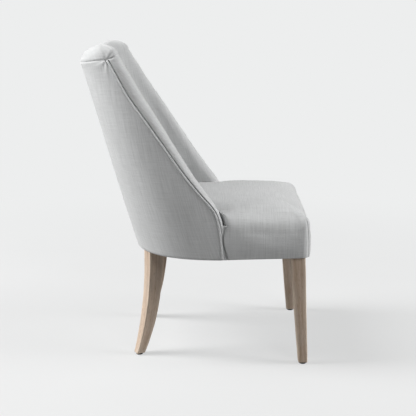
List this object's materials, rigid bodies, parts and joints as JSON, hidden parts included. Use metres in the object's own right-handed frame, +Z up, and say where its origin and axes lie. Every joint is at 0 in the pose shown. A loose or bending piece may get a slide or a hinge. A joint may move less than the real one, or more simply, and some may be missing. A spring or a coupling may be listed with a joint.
{
  "type": "upholstered dining chair",
  "caption": "Upholstered dining chair: a curved back runs forward into sloping wings with piped edges, over a box seat, square tapered front legs and swept rear legs.",
  "frame": {"origin": "on the floor, under the middle of the chair's width and length", "axes": "+Z up; the chair faces -Y; +X is the sitter's left"},
  "size_m": [0.5668, 0.683, 0.9218],
  "materials": {
    "linen": "woven light grey linen",
    "oak": "weathered oak, matt",
    "frame_wood": "raw sawn wood",
    "steel": "zinc plated",
    "webbing": "woven webbing",
    "glide_plastic": "black nylon",
    "black_cloth": "thin black lining cloth"
  },
  "bodies": {
    "root": {"leg_front_left": "oak", "leg_front_right": "oak", "leg_rear_left": "oak", "leg_rear_right": "oak", "glide_front_left": "glide_plastic", "glide_front_right": "glide_plastic", "glide_rear_left": "glide_plastic", "glide_rear_right": "glide_plastic", "corner_brace_front_left": "frame_wood", "corner_brace_front_right": "frame_wood", "corner_brace_rear_left": "frame_wood", "corner_brace_rear_right": "frame_wood", "leg_bolt_front_left": "steel", "leg_bolt_front_right": "steel", "leg_bolt_rear_left": "steel", "leg_bolt_rear_right": "steel", "leg_washer_front_left": "steel", "leg_washer_front_right": "steel", "leg_washer_rear_left": "steel", "leg_washer_rear_right": "steel", "leg_nut_front_left": "steel", "leg_nut_front_right": "steel", "leg_nut_rear_left": "steel", "leg_nut_rear_right": "steel", "front_rail": "frame_wood", "side_rail_left": "frame_wood", "side_rail_right": "frame_wood", "rear_rail": "frame_wood", "seat_strap_long_1": "webbing", "seat_strap_long_2": "webbing", "seat_strap_long_3": "webbing", "seat_strap_long_4": "webbing", "seat_strap_cross_1": "webbing", "seat_strap_cross_2": "webbing", "seat_strap_cross_3": "webbing", "seat_strap_cross_4": "webbing", "dust_cover": "black_cloth", "wing_slat_left": "frame_wood", "wing_slat_right": "frame_wood", "back_top_rail": "frame_wood", "back_post_left": "frame_wood", "back_post_right": "frame_wood", "back_lower_rail": "frame_wood", "back_strap_1": "webbing", "back_strap_2": "webbing", "back_strap_3": "webbing", "seat_cushion": "linen", "inner_back_pad": "linen", "outer_back_cover": "linen", "piping_left": "linen", "piping_right": "linen"}
  },
  "joints": []
}
